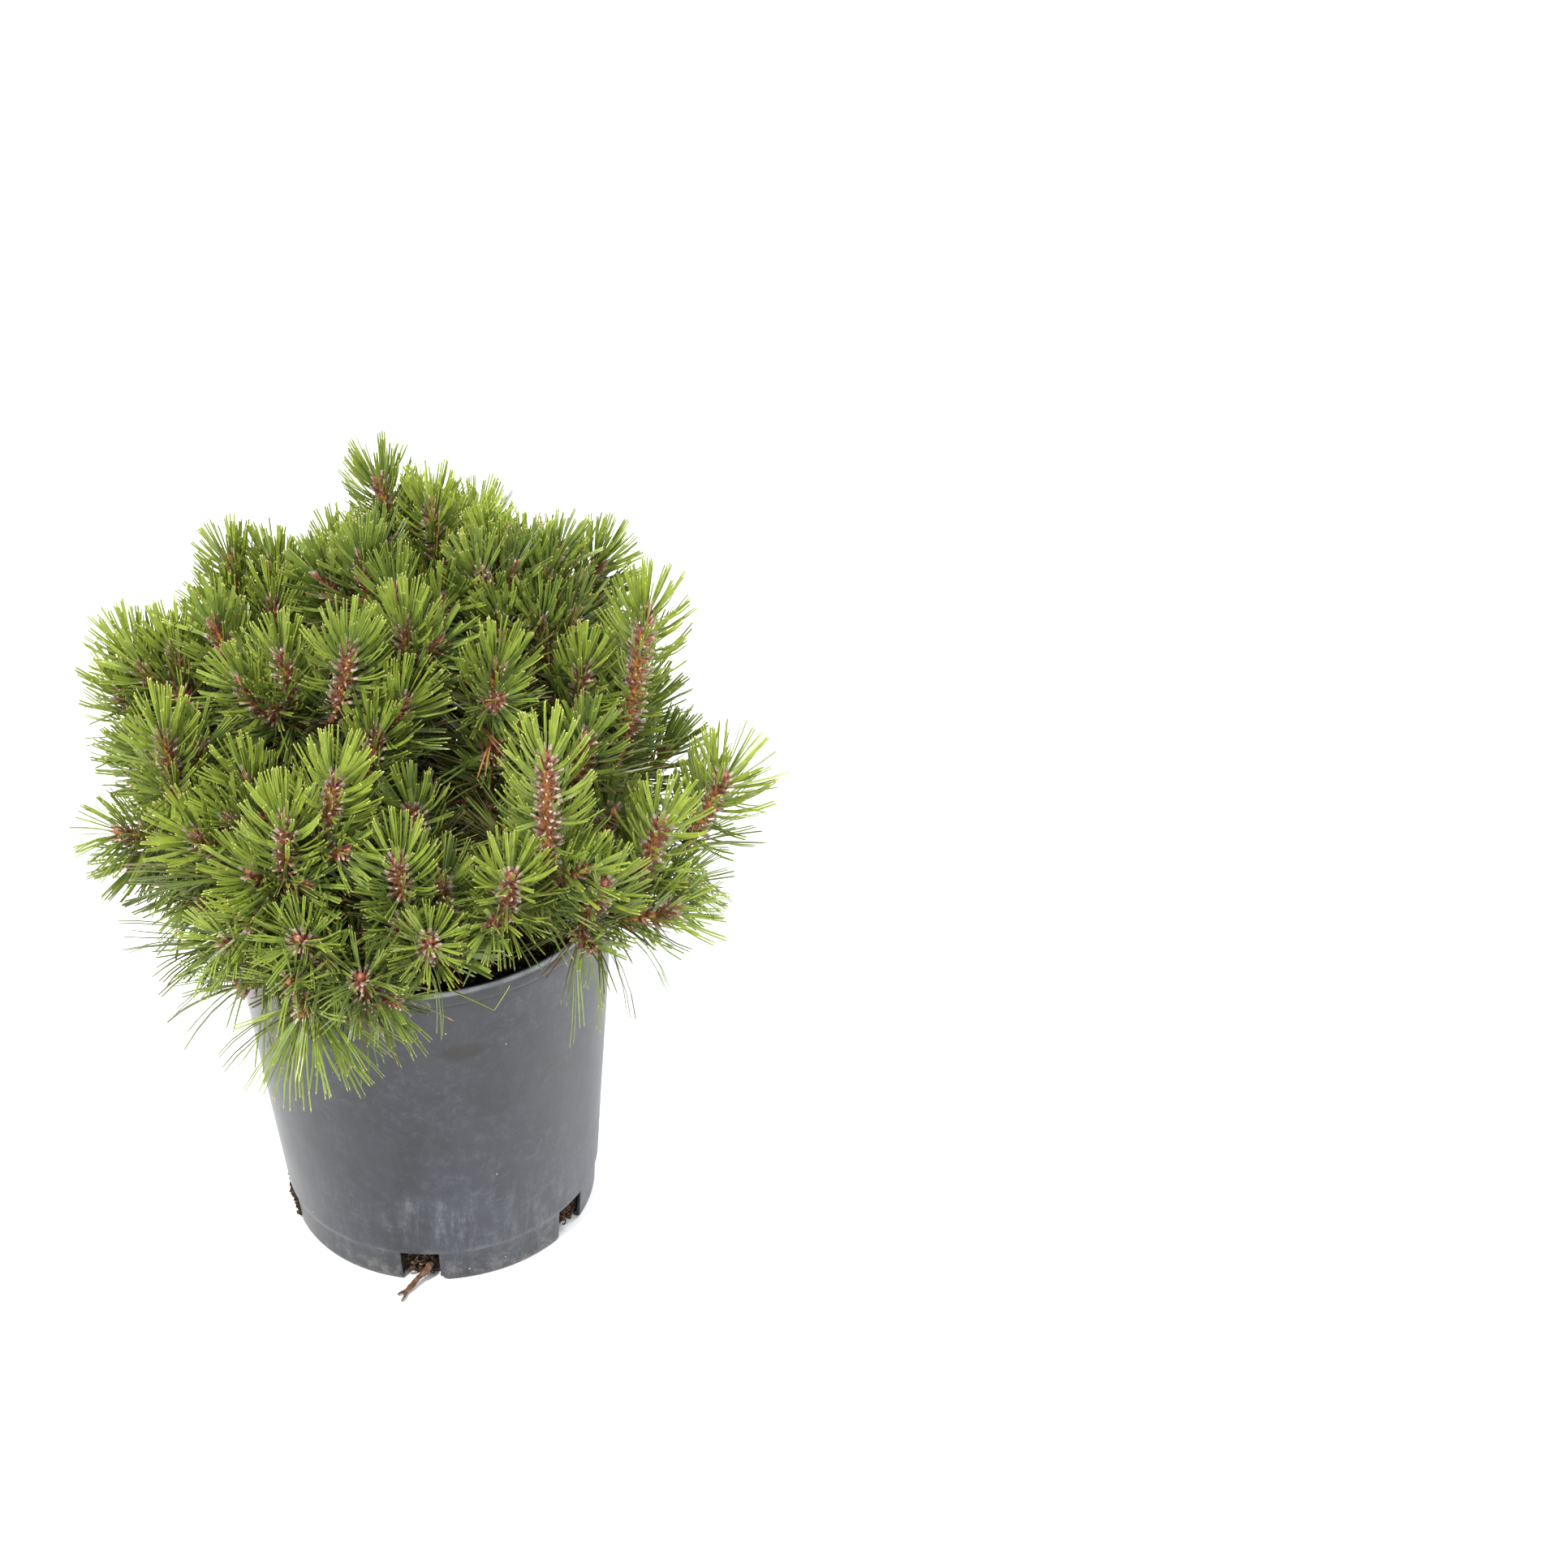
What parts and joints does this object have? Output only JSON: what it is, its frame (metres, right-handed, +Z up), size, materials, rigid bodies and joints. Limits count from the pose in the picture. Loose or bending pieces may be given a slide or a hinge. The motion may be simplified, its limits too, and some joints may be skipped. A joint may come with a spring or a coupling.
{
  "type": "mugo pine in a nursery pot",
  "caption": "Low, rounded dwarf mountain pine with upright bottle-brush shoots, growing in a black plastic nursery pot with drainage slots round its foot.",
  "frame": {"origin": "centre of the pot's flat underside", "axes": "+Z up through the pot's axis; the front of the plant, with its low hanging sprays, faces -Y; +X is to the right seen from the front"},
  "size_m": [0.4195, 0.4168, 0.5002],
  "materials": {
    "pot_plastic": "matt black-grey recycled polypropylene, scuffed and dusty towards the foot",
    "potting_mix": "moist dark peat and bark potting mix with tan flecks",
    "bark": "rough scaly brown bark",
    "root": "dry brown root",
    "needles": "stiff satin green pine needles on orange-brown shoots"
  },
  "bodies": {
    "root": {"bough_back": "bark", "bough_back_high": "bark", "bough_back_right": "bark", "bough_front": "bark", "bough_front_left": "bark", "bough_front_right": "bark", "bough_leader": "bark", "bough_left": "bark", "bough_right": "bark", "foliage_face_candle": "needles", "foliage_face_left": "needles", "foliage_face_right": "needles", "foliage_face_top": "needles", "foliage_front_candle": "needles", "foliage_front_face": "needles", "foliage_front_left_candle": "needles", "foliage_front_left_hanging": "needles", "foliage_front_left_low": "needles", "foliage_front_left_skirt": "needles", "foliage_front_right_candle": "needles", "foliage_front_skirt": "needles", "foliage_front_star": "needles", "foliage_hollow_back": "needles", "foliage_hollow_right": "needles", "foliage_inner_left": "needles", "foliage_left_candle": "needles", "foliage_left_edge": "needles", "foliage_left_face": "needles", "foliage_left_high": "needles", "foliage_left_low": "needles", "foliage_left_peak": "needles", "foliage_rear_high_1": "needles", "foliage_rear_low_1": "needles", "foliage_rear_low_2": "needles", "foliage_rear_low_3": "needles", "foliage_rear_low_4": "needles", "foliage_rear_low_5": "needles", "foliage_rear_low_6": "needles", "foliage_rear_low_7": "needles", "foliage_rear_mid_1": "needles", "foliage_rear_mid_2": "needles", "foliage_rear_mid_3": "needles", "foliage_rear_mid_4": "needles", "foliage_right_back_peak": "needles", "foliage_right_candle": "needles", "foliage_right_front_candle": "needles", "foliage_right_peak": "needles", "foliage_right_shoulder": "needles", "foliage_right_skirt": "needles", "foliage_right_star": "needles", "foliage_right_upper": "needles", "foliage_tall_candle": "needles", "foliage_top_back": "needles", "foliage_top_left": "needles", "foliage_top_peak": "needles", "foliage_top_right": "needles", "pot": "pot_plastic", "root_ball": "potting_mix", "stem": "bark", "stray_root": "root"}
  },
  "joints": []
}
